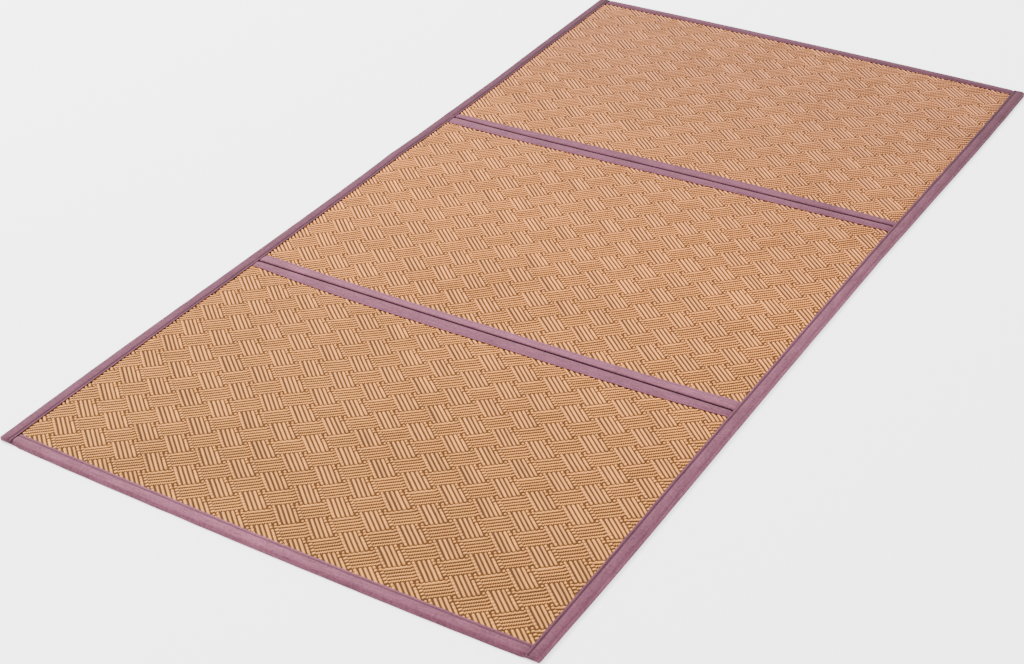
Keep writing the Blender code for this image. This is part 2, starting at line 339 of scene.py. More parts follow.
# Grain of the materials: scales of their noise along a piece's UV or in metres
FIBRES = (60.0, 1400.0, 1.0)
STRAW_PATCHES = 9.0
WARP = (40.0, 1500.0, 1.0)
WEFT = (1800.0, 60.0, 1.0)
STREAKS = (22.0, 330.0, 1.0)
CLOTH_PATCHES = 14.0
FLECKS = 230.0
CORE_GRAIN = 350.0
THREAD_GRAIN = 900.0
BACKING_PITCH = 4.0 * MM
BACKING_TOP = 4.0 * MM

# The stage
FLOOR_COLOUR = (0.90, 0.90, 0.90, 1)
FLOOR_GLOW = 1.5
FLOOR_HALF = 30.0
FLOOR_DEPTH = 0.3 * MM
WORLD_COLOUR = (1.0, 1.0, 1.0, 1.0)
WORLD_STRENGTH = 1.65
KEY_PLACE = (-4.8, 0.8, 5.3)
KEY_SIZE = (3.0, 3.0)
KEY_POWER = 1500.0


# Measuring the frame


def node_arrays(node):
    mesh = node.data
    places = np.empty(len(mesh.vertices) * 3)
    mesh.vertices.foreach_get("co", places)
    edges = np.empty(len(mesh.edges) * 2, dtype=int)
    mesh.edges.foreach_get("vertices", edges)
    places = places.reshape(-1, 3)
    edges = edges.reshape(-1, 2)
    return places[edges[:, 0]], places[edges[:, 1]]


def reach(node, axis, stations):
    """Lowest and highest place of the node across the axis, where it is cut at each station."""
    start, stop = node_arrays(node)
    low, high = [], []
    for station in stations:
        a, b = start[:, axis] - station, stop[:, axis] - station
        cut = (a * b <= 0) & (a != b)
        share = a[cut] / (a[cut] - b[cut])
        across = start[cut, 1 - axis] + share * (stop[cut, 1 - axis] - start[cut, 1 - axis])
        low.append(across.min())
        high.append(across.max())
    return np.array(low), np.array(high)


def bell(distance, reach):
    return np.exp(-((distance / reach) ** 2))


def soften(values, stations):
    """The values averaged along the stations with a bell of LINE_SOFTEN."""
    apart = stations[:, None] - stations[None, :]
    weights = bell(apart, LINE_SOFTEN)
    guess = values[None, :] + np.gradient(values, stations)[None, :] * apart
    return (weights * guess).sum(axis=1) / weights.sum(axis=1)


def noise(x, y, wave, seed):
    """Smooth noise from about -1 to 1, with bumps of about the given wavelength."""
    rng = np.random.default_rng(seed)
    total = 0.0
    for _ in range(NOISE_WAVES):
        angle, phase = rng.uniform(0, 2 * math.pi, 2)
        turn = 2 * math.pi / (wave * rng.uniform(0.7, 1.5))
        total = total + np.sin(turn * (x * math.cos(angle) + y * math.sin(angle)) + phase)
    return total / (NOISE_WAVES / 2)


def ripple(x, y, form, seed):
    """Smooth noise of a form: wavelength, how much quicker it changes along y, and height."""
    wave, quicker, height = form
    return noise(x, y * quicker, wave, seed) * height


def smooth_step(value):
    value = np.clip(value, 0.0, 1.0)
    return value * value * (3 - 2 * value)


def straighten(values, stations):
    """The values, with those near both ends on the line of the ones before them."""
    values = values.copy()
    from_start, from_stop = stations - stations[0], stations[-1] - stations
    for away in (from_start, from_stop):
        base = (away > END_REACH) & (away < END_BASE)
        line = np.polyfit(stations[base], values[base], 1)
        values[away <= END_REACH] = np.polyval(line, stations[away <= END_REACH])
    return values


class Rim:
    """A binding's outer face and lip as lines: axis 1 where it runs along the mat, 0 across it.
    outward is 1 where its outer face looks to +X or +Y."""

    def __init__(self, name, axis, outward):
        low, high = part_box(name)
        count = round((high[axis] - low[axis]) / STATION)
        self.name, self.axis, self.outward = name, axis, outward
        self.kind, self.short = name.split("_")[0], name.replace("_binding", "")
        self.stations = np.linspace(low[axis] + STATION_INSET, high[axis] - STATION_INSET, count + 1)
        if axis == 1:
            close = np.array(CLOSE_STATIONS)
            ends = np.concatenate([self.stations[0] + close, self.stations[-1] - close])
            self.stations = np.sort(np.concatenate([self.stations, ends]))
        below, above = reach(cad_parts[name], axis, self.stations)
        if axis == 1:
            below, above = straighten(below, self.stations), straighten(above, self.stations)
        below, above = soften(below, self.stations), soften(above, self.stations)
        self.face_line, self.lip_line = (above, below) if outward > 0 else (below, above)

    def face(self, station):
        return np.interp(station, self.stations, self.face_line)

    def lip(self, station):
        return np.interp(station, self.stations, self.lip_line)


# Meshes


def make_mesh(name, places, faces, uv, material, tone=None, replaces=()):
    """A smooth mesh from arrays: places (n, 3), faces (m, 3 or 4), uv (n, 2), tone (n)."""
    mesh = bpy.data.meshes.new(name)
    corners = faces.shape[1]
    mesh.vertices.add(len(places))
    mesh.vertices.foreach_set("co", places.astype(np.float32).ravel())
    mesh.loops.add(faces.size)
    mesh.loops.foreach_set("vertex_index", faces.astype(np.int32).ravel())
    mesh.polygons.add(len(faces))
    mesh.polygons.foreach_set("loop_start", np.arange(len(faces), dtype=np.int32) * corners)
    mesh.update(calc_edges=True)
    layer = mesh.uv_layers.new(name="UVMap")
    layer.data.foreach_set("uv", uv[faces.ravel()].astype(np.float32).ravel())
    if tone is not None:
        colours = np.ones((len(places), 4), dtype=np.float32)
        colours[:, :3] = tone[:, None]
        attribute = mesh.color_attributes.new("tone", "FLOAT_COLOR", "POINT")
        attribute.data.foreach_set("color", colours.ravel())
    mesh.validate()
    mesh.shade_smooth()
    mesh.materials.append(material)
    piece = bpy.data.objects.new(name, mesh)
    bpy.context.scene.collection.objects.link(piece)
    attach(piece, "root")
    if replaces:
        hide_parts(*replaces)
    return piece


def loft(count, size):
    """Quads between closed rings: count rings of size places each."""
    i, j = np.meshgrid(np.arange(count - 1), np.arange(size), indexing="ij")
    after = (j + 1) % size
    rows = [i * size + j, i * size + after, (i + 1) * size + after, (i + 1) * size + j]
    return np.stack(rows, axis=-1).reshape(-1, 4)


def grid(count, size):
    """Quads between open rows: count rows of size places each, facing up."""
    i, j = np.meshgrid(np.arange(count - 1), np.arange(size - 1), indexing="ij")
    rows = [i * size + j, (i + 1) * size + j, (i + 1) * size + j + 1, i * size + j + 1]
    return np.stack(rows, axis=-1).reshape(-1, 4)


# Bindings


def section_at(widths, flares):
    """Distances in and heights, (stations, points), of the closed section at each width."""
    rows = np.array(OUTER_SECTION + INNER_SECTION)
    offsets = rows[:, 1] * MM
    if not flares:
        offsets[offsets < 0] *= np.where(rows[offsets < 0, 0] == 0, FOLD_FLARE, 1.0)
    inward = widths[:, None] * rows[None, :, 0] + offsets[None, :]
    return inward, np.repeat(rows[None, :, 2] * MM, len(widths), axis=0)


def binding(rim, tuck, part, cut, shut, crease, seed):
    """A binding's cloth along its rim. For each station, tuck presses it to its height
    inside another binding, part draws it to its middle, cut moves its outer face in, shut
    closes its fold and crease flattens its band."""
    face, lip = rim.face_line, rim.lip_line
    along = rim.stations
    widths = np.abs(face - lip)
    inward, height = section_at(widths, rim.kind != "fold")
    share = inward / widths[:, None]
    seam_in = widths[:, None] - SEAM_IN
    band = np.sin(math.pi * np.clip((inward - BAND_START) / (seam_in - BAND_START), 0, 1))
    upper = smooth_step((height - UPPER_FROM) / UPPER_REACH)
    free = (1 - tuck[:, None]) * upper
    line = np.repeat(along[:, None], inward.shape[1], axis=1)
    wrinkle = ripple(line, inward, WRINKLE, seed) + ripple(line, inward, SWELL, seed + 1)
    pucker = ripple(line, inward, PUCKER, seed + 2)
    height = height + free * (band * wrinkle + bell(inward - seam_in, PUCKER_REACH) * pucker)
    height += bell(inward - seam_in, FILL_REACH) * upper * SEAM_FILL[rim.kind]
    height -= crease[:, None] * band * upper * CREASE_DROP
    height = np.where(height > BAND_TOP, BAND_TOP + (height - BAND_TOP) * OVER_TOP, height)
    pressed = TUCK_LOW + height * (TUCK_HIGH - TUCK_LOW) / BAND_TOP
    height = height + (pressed - height) * tuck[:, None]
    height = FACE_MIDDLE + (height - FACE_MIDDLE) * part[:, None]
    within = np.arange(height.shape[1]) >= len(OUTER_SECTION)
    height = height + (FACE_MIDDLE - height) * (shut[:, None] * within[None, :])
    wander = ripple(along, along, WANDER, seed + 3) * (1 - tuck)
    inward = inward + wander[:, None] * share * upper
    face_wave = ripple(along, along, FACE_WAVE, seed + 4) * (1 - tuck)
    face_wave *= FOLD_WAVE if rim.kind == "fold" else 1.0
    inward = inward + face_wave[:, None] * np.clip(1 - share, 0, 1) ** 2
    inward = np.maximum(inward, cut[:, None] - FLARE)
    rings = np.empty(inward.shape + (3,))
    rings[..., rim.axis] = line
    rings[..., 1 - rim.axis] = face[:, None] - rim.outward * inward
    rings[..., 2] = np.maximum(height, 0.0)
    # Painted shade in the seam's groove; on the outer face painted shade for ends and folds, painted light
    # for sides; a painted shadow at the lip
    painted_marks = (
        bell(inward - seam_in, SEAM_DARK) * upper,
        smooth_step((FACE_DARK - inward) / FACE_DARK),
        smooth_step((inward - widths[:, None] + LIP_DARK) / LIP_DARK),
    )
    # The binding's painted light and shade as a whole, then darkened by its painted marks
    place = (along - along[0]) / (along[-1] - along[0])
    tone = np.interp(place, BAND_PLACES, BAND_PAINTED_LIGHTING[rim.name])[:, None]
    for mark, shade in zip(painted_marks, CLOTH_PAINTED_SHADING[rim.kind]):
        tone = tone * (1 - (1 - shade) * mark)
    return rings, tone


def binding_piece(rim, rings, tone, cloth):
    """The binding's closed mesh, with a fan over each end."""
    count, size = rings.shape[:2]
    steps = np.linalg.norm(np.diff(rings, axis=1, append=rings[:, :1]), axis=2)
    girth = np.concatenate([np.zeros((count, 1)), np.cumsum(steps, axis=1)[:, :-1]], axis=1)
    uv = np.stack([np.repeat(rings[:, :1, rim.axis], size, axis=1), girth], axis=-1).reshape(-1, 2)
    faces = loft(count, size)
    places = rings.reshape(-1, 3)
    caps = []
    for ring, centre in ((0, len(places)), (count - 1, len(places) + 1)):
        turn = np.arange(size)
        fan = np.stack([ring * size + turn, ring * size + (turn + 1) % size, np.full(size, centre)], axis=1)
        caps.append(fan if ring else fan[:, ::-1])
    centres = np.stack([rings[0].mean(axis=0), rings[-1].mean(axis=0)])
    places = np.concatenate([places, centres])
    uv = np.concatenate([uv, uv[[0, -1]]])
    # The middles of the ends get painted shade
    tone = np.concatenate([tone.ravel(), [END_PAINTED_SHADE, END_PAINTED_SHADE]])
    triangles = np.concatenate([faces[:, [0, 1, 2]], faces[:, [0, 2, 3]], caps[0], caps[1]])
    a, b, c = (places[triangles[:, k]] for k in range(3))
    if np.einsum("ij,ij->i", a, np.cross(b, c)).sum() < 0:
        triangles = triangles[:, ::-1]
    piece = make_mesh(f"cloth_{rim.short}", places, triangles, uv, cloth, tone=tone, replaces=(rim.name,))
    return piece


def stitches(rim, rings, thread):
    """Short stitches lying in the seam's groove, each an open tube."""
    line = rings[:, SEAM_POINT]
    travel = np.concatenate([[0.0], np.cumsum(np.linalg.norm(np.diff(line, axis=0), axis=1))])
    count = int((travel[-1] - 2 * STITCH_END) / STITCH_PITCH)
    starts = STITCH_END + np.arange(count) * STITCH_PITCH
    share, rise, width = np.array(STITCH_ROWS).T
    at = starts[:, None] + share[None, :] * STITCH_LENGTH
    middle = np.stack([np.interp(at, travel, line[:, k]) for k in range(3)], axis=-1)
    middle[..., 2] += rise[None, :] * STITCH_RISE
    angles = np.arange(STITCH_SIDES) / STITCH_SIDES * 2 * math.pi
    round_it = np.zeros((STITCH_SIDES, 3))
    round_it[:, 1 - rim.axis] = np.cos(angles)
    round_it[:, 2] = np.sin(angles)
    radius = STITCH_RADIUS * width
    tube = middle[:, :, None, :] + radius[None, :, None, None] * round_it[None, None]
    places = tube.reshape(-1, 3)
    one = loft(len(STITCH_ROWS), STITCH_SIDES)
    first = np.arange(count) * len(STITCH_ROWS) * STITCH_SIDES
    faces = (one[None] + first[:, None, None]).reshape(-1, 4)
    if rim.axis == 0:
        faces = faces[:, ::-1]
    uv = np.stack([places[:, rim.axis], places[:, 2]], axis=1)
    piece = make_mesh(f"seam_{rim.short}", places, faces, uv, thread)
    return piece


# Panels


class Panel:
    """The weave between a panel's four lips."""

    def __init__(self, left, right, near, far):
        self.left, self.right, self.near, self.far = left, right, near, far

    def inside(self, x, y):
        """Distance in from the nearest lip, with the corners cut round."""
        across = np.minimum(x - self.left.lip(y), self.right.lip(y) - x)
        along = np.minimum(y - self.near.lip(x), self.far.lip(x) - y)
        corner = CORNER_RADIUS - np.hypot(CORNER_RADIUS - across, CORNER_RADIUS - along)
        in_corner = (across < CORNER_RADIUS) & (along < CORNER_RADIUS)
        return np.where(in_corner, corner, np.minimum(across, along))

    def top(self, x, y):
        """Height of the core's upper face."""
        height = np.full(np.shape(x), CORE_TOP)
        across = (x - self.left.lip(y), self.right.lip(y) - x)
        along = (y - self.near.lip(x), self.far.lip(x) - y)
        for distance in across + along:
            pressed = 1 - smooth_step((distance - PRESS_FULL) / (PRESS_REACH - PRESS_FULL))
            height = np.minimum(height, CORE_TOP - (CORE_TOP - CORE_PRESSED) * pressed)
        return height


def rail(low, high, station, spaces):
    """Places of the core's grid lines at a station, from one rim's outer face to the other's."""
    rim = np.array(CORE_RIM) * MM
    first, last = low.lip(station), high.lip(station)
    inner = np.linspace(first + rim[-1], last - rim[-1], spaces + 1)[1:-1]
    faces = [low.face(station) + CORE_INSET], [high.face(station) - CORE_INSET]
    return np.concatenate([faces[0], first + rim, inner, (last - rim)[::-1], faces[1]])


def in_bindings(count):
    """Which of the core's lines lie inside the bindings."""
    index = np.arange(count)
    return (index < IN_BINDING) | (index >= count - IN_BINDING)


def core(name, panel, node, material):
    """The panel's flat core: a closed sheet, pressed thinner inside the bindings."""
    wide, long = CORE_SPACES
    columns, rows = len(CORE_RIM) * 2 + 1 + wide, len(CORE_RIM) * 2 + 1 + long
    middle_y = (panel.near.lip(0.0) + panel.far.lip(0.0)) / 2
    x = np.tile(rail(panel.left, panel.right, middle_y, wide)[:, None], (1, rows))
    for _ in range(CORE_ROUNDS):
        lines = [[rail(panel.near, panel.far, a, long)[j] for j, a in enumerate(row)] for row in x]
        y = np.array(lines)
        lines = [[rail(panel.left, panel.right, b, wide)[i] for b in row] for i, row in enumerate(y)]
        x = np.array(lines)
    top = panel.top(x, y)
    foot = np.zeros_like(top)
    rim = in_bindings(columns)[:, None].astype(int) + in_bindings(rows)[None, :]
    foot[rim == 1] = TUCK_LOW
    foot[rim == 2], top[rim == 2] = CORE_CORNER
    upper = np.stack([x, y, top], axis=-1).reshape(-1, 3)
    lower = np.stack([x, y, foot], axis=-1).reshape(-1, 3)
    quad = grid(columns, rows)
    count = columns * rows
    loop = [(k, 0) for k in range(columns)] + [(columns - 1, k) for k in range(1, rows)]
    loop += [(k, rows - 1) for k in range(columns - 2, -1, -1)] + [(0, k) for k in range(rows - 2, 0, -1)]
    edge = np.array([a * rows + b for a, b in loop])
    after = np.roll(edge, -1)
    wall = np.stack([edge, edge + count, after + count, after], axis=1)
    faces = np.concatenate([quad, quad[:, ::-1] + count, wall])
    places = np.concatenate([upper, lower])
    piece = make_mesh(name, places, faces, places[:, :2].copy(), material, replaces=(node,))
    return piece


def bar(middle, half_axis, half_width, rings, across, steps, slant):
    """A strip or bead in a cell, as places, rises, UV, shades and faces. middle and half_axis
    are in steps of the weave, rings and across are a table from above, and slant is how far
    its sides run ahead of each other, in millimetres."""
    step_p, step_q = steps
    centre = middle[0] * step_p + middle[1] * step_q
    axis = half_axis[0] * step_p + half_axis[1] * step_q
    length = np.hypot(*axis)
    side = np.array([-axis[1], axis[0]]) / length
    place, width, raised, sway, light = (column[:, None] for column in np.array(rings).T)
    sideways, upward, lit = (column[None, :] for column in np.array(across).T)
    spread = width * sideways * half_width
    offset = spread + sway * MM
    ahead = slant * MM * sideways * (np.abs(place) < SLANT_END)
    flat = centre + (place[..., None] + ahead[..., None] / length) * axis + offset[..., None] * side
    rise = STRIP_FOOT + (STRIP_RISE * raised - STRIP_FOOT) * upward
    uv = np.stack([np.repeat(place * length, len(across), axis=1), spread], axis=-1)
    faces = grid(*offset.shape)
    return flat.reshape(-1, 2), rise.ravel(), uv.reshape(-1, 2), (light * lit).ravel(), faces


def eye(middle, steps):
    """The round bead where four blocks meet, as a small dome of quads."""
    centre = middle[0] * steps[0] + middle[1] * steps[1]
    sides, (shoulder, crown) = EYE_SIDES, EYE_RISES
    angles = np.arange(sides) / sides * 2 * math.pi
    ring = np.stack([np.cos(angles), np.sin(angles)], axis=1) * EYE_RADIUS
    flat = np.concatenate([ring, ring * EYE_INNER, np.zeros((1, 2))]) + centre
    levels = np.array([STRIP_FOOT, STRIP_RISE * shoulder, STRIP_RISE * crown])
    rise = np.repeat(levels, (sides, sides, 1))
    # Painted shade at the foot, painted highlight at the crown
    shade = np.repeat(EYE_SHADES, (sides, sides + 1))
    inner = [[k + sides, k + sides + 1, (k + 2) % sides + sides, 2 * sides] for k in range(0, sides, 2)]
    return flat, rise, flat - centre, shade, np.concatenate([loft(2, sides), np.array(inner)])


def cord_rings():
    """Rings of a strip whose edges are notched twice a step and whose ends sway."""
    start, stop = CORD_ENDS
    inner = []
    for k in range(2, round((stop - start) / SCALLOP) - 1):
        inner.append((start + k * SCALLOP, *CORD_NECK))
        inner.append((start + (k + 0.5) * SCALLOP, *CORD_BEAD))
    outer = [
        [(end + SCALLOP * at, width, rise, CORD_SWAY * sway, shade) for at, width, rise, sway, shade in rows]
        for end, rows in ((start, CORD_START), (stop, CORD_STOP))
    ]
    rows = outer[0] + inner + outer[1]
    middle, half = (start + stop) / 2, (stop - start) / 2
    return [((place - middle) / half, *rest) for place, *rest in rows]


def cell(steps):
    """One repeat of the weave: a block of smooth strips, a block of corded strips and two
    eyes, charted in the weave's steps from where four blocks meet. Returns places,
    rises, uvs, shades, faces, and for each place its strip: 0 for the smooth block or 1 for
    the corded one, then its number."""
    parts = []

    def add(middle, half_axis, half_width, rings, across, strip, slant=0.0):
        parts.append((bar(middle, half_axis, half_width, rings, across, steps, slant), strip))

    # The smooth block, with beads on its first strip and notches on its last
    for s in (2, 3, 4):
        add((s, 2.95), (0.0, 3.40), HALF_WIDTH, STRIP_RINGS, ROUNDED, (0, s))
    add((4.97, 3.92), (0.0, 2.45), HALF_WIDTH, NOTCHED_RINGS, BROAD, (0, 5))
    add((0.93, 2.9), (0.0, 2.9), UNDER_HALF_WIDTH, UNDER_RINGS, BROAD, (0, 1))
    for s, beads in ((0.90, BLOCK), (4.88, 2)):
        add((s - 0.02, -0.12), (0.0, 0.44), HALF_WIDTH * 0.9, PIECE_RINGS, BROAD, (0, round(s)))
        for t in range(1, beads):
            add((s, t - 0.13), (-0.14, 0.44), BEAD_HALF_WIDTH, BEAD_RINGS, BROAD, (0, round(s)))
    add((0.97, 5.84), (0.0, 0.46), HALF_WIDTH * 0.9, PIECE_RINGS, BROAD, (0, 1))

    # The corded block, with beads on its first strip
    cords = cord_rings()
    middle, half = sum(CORD_ENDS) / 2, (CORD_ENDS[1] - CORD_ENDS[0]) / 2
    for t in (2, 3, 4, 5):
        add((middle, t - 0.06), (half, 0.0), CORD_HALF_WIDTH, cords, RIDGED, (1, t), SLANT)
    add((-2.9, 0.93), (2.9, 0.0), UNDER_HALF_WIDTH, CORD_UNDER_RINGS, RIDGED, (1, 1))
    for s in range(1, BLOCK):
        add((-s + 0.12, 0.90), (-0.30, 0.38), CORD_BEAD_HALF_WIDTH, BEAD_RINGS, ROUNDED, (1, 1))
    add((0.26, 0.76), (0.30, -0.06), HALF_WIDTH * 0.75, PIECE_RINGS, BROAD, (1, 1))
    add((-6.10, 0.80), (0.40, 0.0), HALF_WIDTH * 0.9, PIECE_RINGS, BROAD, (1, 1))
    parts.append((eye((0, 0), steps), (0, 0)))
    parts.append((eye((BLOCK, 0), steps), (0, 0)))

    rows, count = [], 0
    for (flat, rise, uv, shade, quads), strip in parts:
        rows.append((flat, rise, uv, shade, quads + count, np.repeat([strip], len(flat), axis=0)))
        count += len(flat)
    return tuple(np.concatenate(column) for column in zip(*rows))


def weave(name, panel, chart, seed, material):
    """The raised strips of a panel's upper face. chart gives a block's middle and the
    repeat's steps across and along the mat, in millimetres."""
    middle, step_a, step_b = np.array(chart) * MM
    steps = (step_a - step_b) / (2 * BLOCK), (step_a + step_b) / (2 * BLOCK)
    origin = middle - step_a / 2
    places, rises, uvs, shades, faces, strips = cell(steps)
    low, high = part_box("woven_panel_" + name)
    longest = max(high[0] - low[0], high[1] - low[1])
    count = int(longest / min(np.hypot(*step_a), np.hypot(*step_b))) + 3
    cells = []
    for a in range(-count, count + 1):
        for b in range(-count, count + 1):
            at = origin + BLOCK * (a * (steps[0] + steps[1]) + b * (steps[1] - steps[0]))
            if all(low[k] - CELL_MARGIN < at[k] < high[k] + CELL_MARGIN for k in range(2)):
                cells.append((BLOCK * (a - b), BLOCK * (a + b), at))
    rng = np.random.default_rng(seed)
    size = len(places)
    flat = np.concatenate([places + at for _, _, at in cells])
    rise = np.tile(rises, len(cells))
    uv = np.concatenate([uvs + rng.uniform(0, 3, 2) * [1, 0] for _ in cells])
    kind, number = strips.T
    strip_tones = rng.uniform(0, 1, (2, TONE_COUNT))
    lines = [np.where(kind == 0, s, t) + number for s, t, _ in cells]
    strip_tone = np.concatenate([strip_tones[kind, line % TONE_COUNT] for line in lines])
    in_cell = BLOCK * 2 + 2
    piece_tones = rng.uniform(0, 1, len(cells) * in_cell)
    index = np.concatenate([kind * BLOCK + number + k * in_cell for k in range(len(cells))])
    chance = STRIP_CHANCE * strip_tone + (1 - STRIP_CHANCE) * piece_tones[index]
    # Chance tone plus the painted highlights and shade of each place
    tone = TONE_FLOOR + TONE_CHANCE * chance + TONE_SHADE * np.tile(shades, len(cells))
    quads = np.concatenate([faces + k * size for k in range(len(cells))])

    x, y = flat.T
    shift_x = ripple(x, y, DRIFT, seed + 1) + ripple(x, y, JITTER, seed + 2)
    shift_y = ripple(x, y, DRIFT, seed + 3) + ripple(x, y, JITTER, seed + 4)
    x, y = x + shift_x, y + shift_y
    inside = panel.inside(x, y)
    rise = rise * (1 + ripple(x, y, UNEVEN, seed + 5)) * np.clip(1 + inside / LIP_FALL, 0, 1)
    height = panel.top(x, y) + rise
    kept = (inside[quads] > -LIP_TUCK).any(axis=1) & (inside[quads] > -LIP_REACH).all(axis=1)
    quads = quads[kept]
    used, quads = np.unique(quads, return_inverse=True)
    quads = quads.reshape(-1, 4)
    places = np.stack([x, y, height], axis=1)[used]
    piece = make_mesh(f"weave_{name}", places, quads, uv[used], material, tone=tone[used])
    return piece


# Materials


def darker(colour, share):
    return tuple(part * share for part in colour[:3]) + (1,)


class Nodes:
    """A material's node tree, with short calls for the nodes that these looks need."""

    def __init__(self, name, roughness, specular=0.3, sheen=0.0):
        self.material = bpy.data.materials.new(name)
        self.material.use_nodes = True
        self.tree = self.material.node_tree
        self.shader = self.tree.nodes["Principled BSDF"]
        self.shader.inputs["Roughness"].default_value = roughness
        self.shader.inputs["Specular IOR Level"].default_value = specular
        self.shader.inputs["Sheen Weight"].default_value = sheen

    def add(self, kind, **inputs):
        node = self.tree.nodes.new(kind)
        for name, value in inputs.items():
            self.feed(node.inputs[name.replace("_", " ")], value)
        return node

    def feed(self, socket, value):
        if isinstance(value, bpy.types.NodeSocket):
            self.tree.links.new(value, socket)
        else:
            socket.default_value = value

    def mapped(self, kind, scale):
        """The object's own places or its UV, scaled along each axis."""
        places = self.add("ShaderNodeTexCoord").outputs[kind]
        return self.add("ShaderNodeMapping", Vector=places, Scale=scale).outputs["Vector"]

    def noise(self, vector, scale, detail=2.0):
        return self.add("ShaderNodeTexNoise", Vector=vector, Scale=scale, Detail=detail).outputs["Fac"]

    def total(self, *parts):
        """The sum of values, each times its weight."""
        weighted = [self.math("MULTIPLY", value, weight) for value, weight in parts]
        result = weighted[0]
        for value in weighted[1:]:
            result = self.math("ADD", result, value)
        return result

    def tone(self):
        node = self.add("ShaderNodeVertexColor")
        node.layer_name = "tone"
        return node.outputs["Color"]

    def axes(self):
        """The object's own places, apart."""
        places = self.add("ShaderNodeTexCoord").outputs["Object"]
        return self.add("ShaderNodeSeparateXYZ", Vector=places).outputs

    def math(self, operation, a, b=0.0):
        node = self.add("ShaderNodeMath")
        node.operation = operation
        self.feed(node.inputs[0], a)
        self.feed(node.inputs[1], b)
        return node.outputs[0]

    def ramp(self, factor, *stops):
        node = self.add("ShaderNodeValToRGB", Fac=factor)
        elements = node.color_ramp.elements
        while len(elements) < len(stops):
            elements.new(0.5)
        for element, (place, colour) in zip(elements, stops):
            element.position = place
            element.color = colour
        return node.outputs["Color"]

    def mix(self, blend, factor, a, b):
        node = self.add("ShaderNodeMix")
        node.data_type = "RGBA"
        node.blend_type = blend
        self.feed(node.inputs[0], factor)
        self.feed(node.inputs[6], a)
        self.feed(node.inputs[7], b)
        return node.outputs[2]

    def paint(self, colour):
        self.feed(self.shader.inputs["Base Color"], colour)

    def bump(self, height, distance, strength=1.0):
        node = self.add("ShaderNodeBump", Height=height, Distance=distance, Strength=strength)
        self.feed(self.shader.inputs["Normal"], node.outputs["Normal"])


def straw_material():
    """Dyed rush strips: fibres run along each strip, and no two strips have quite one tone.
    The strips also carry painted highlights on their crests and painted shade at their feet.
    """
    m = Nodes("straw", roughness=0.6, specular=0.08)
    fibres = m.noise(m.mapped("UV", FIBRES), 1.0, 3.0)
    patches = m.noise(m.mapped("Object", (1.0, 1.0, 1.0)), STRAW_PATCHES)
    # The tone attribute holds each strip's chance tone and its painted highlights and shade
    mixed = m.total((m.tone(), 1.4), (fibres, 0.42), (patches, 0.22))
    stops = (0.0, STRAW_SHADE), (0.30, STRAW_DARK), (0.85, STRAW_LIGHT)
    straw = m.ramp(m.math("SUBTRACT", mixed, 0.91), *stops)
    # A ramp runs from 0 to 1, so Y is halved and moved by a half for it
    along = m.math("ADD", m.math("MULTIPLY", m.axes()["Y"], 0.5), 0.5)
    tint = m.ramp(along, *((y * 0.5 + 0.5, (*share, 1)) for y, share in STRAW_TINTS))
    m.paint(m.mix("MULTIPLY", 1.0, straw, tint))
    m.bump(fibres, 0.10 * MM, 0.7)
    return m.material


def core_material():
    """The core: dark between the strips, and a plain pale weave below."""
    m = Nodes("core", roughness=0.85, specular=0.04)
    axes = m.axes()
    turn = 2 * math.pi / BACKING_PITCH
    threads = [m.math("SINE", m.math("MULTIPLY", axes[name], turn)) for name in "XY"]
    woven = m.math("MULTIPLY", *threads)
    grain = m.noise(m.mapped("Object", (1.0, 1.0, 1.0)), CORE_GRAIN, 3.0)
    upper = m.ramp(grain, (0.2, darker(CORE_COLOUR, 0.7)), (0.8, CORE_COLOUR))
    lower = m.ramp(grain, (0.2, darker(UNDERSIDE_COLOUR, 0.75)), (0.8, UNDERSIDE_COLOUR))
    m.paint(m.mix("MIX", m.math("LESS_THAN", axes["Z"], BACKING_TOP), upper, lower))
    m.bump(m.total((woven, 0.5), (grain, 1.0)), 0.3 * MM, 0.6)
    return m.material


def cloth_material():
    """Woven cotton tape: fine threads both ways, with faint streaks along them."""
    m = Nodes("binding_cloth", roughness=0.8, specular=0.08, sheen=0.06)
    m.shader.inputs["Sheen Roughness"].default_value = 0.5
    along = m.noise(m.mapped("UV", WARP), 1.0)
    across = m.noise(m.mapped("UV", WEFT), 1.0)
    patches = m.noise(m.mapped("Object", (1.0, 1.0, 1.0)), CLOTH_PATCHES, 3.0)
    flecks = m.noise(m.mapped("Object", (1.0, 1.0, 1.0)), FLECKS)
    streaks = m.noise(m.mapped("UV", STREAKS), 1.0)
    mixed = m.total((along, 0.18), (across, 0.18), (patches, 0.16), (flecks, 0.26), (streaks, 0.22))
    cloth = m.ramp(mixed, (0.36, CLOTH_DARK), (0.64, CLOTH_LIGHT))
    # The tone attribute darkens and lightens the cloth with its painted light and shade
    m.paint(m.mix("MULTIPLY", 1.0, cloth, m.tone()))
    m.bump(m.math("ADD", along, across), 0.12 * MM, 0.6)
    return m.material


def thread_material():
    m = Nodes("seam_thread", roughness=0.6, specular=0.3)
    grain = m.noise(m.mapped("Object", (1.0, 1.0, 1.0)), THREAD_GRAIN)
    m.paint(m.ramp(grain, (0.3, darker(THREAD_COLOUR, 0.8)), (0.7, THREAD_COLOUR)))
    return m.material


def floor_material():
    m = Nodes("floor", roughness=0.9, specular=0.1)
    m.paint(FLOOR_COLOUR)
    m.feed(m.shader.inputs["Emission Color"], FLOOR_COLOUR)
    m.feed(m.shader.inputs["Emission Strength"], FLOOR_GLOW)
    return m.material


# Stage


def add_floor():
    corners = ((-1, -1), (1, -1), (1, 1), (-1, 1))
    mesh = bpy.data.meshes.new("floor")
    places = [(x * FLOOR_HALF, y * FLOOR_HALF, -FLOOR_DEPTH) for x, y in corners]
    mesh.from_pydata(places, [], [(0, 1, 2, 3)])
    mesh.materials.append(floor_material())
    floor = bpy.data.objects.new("floor", mesh)
    bpy.context.scene.collection.objects.link(floor)


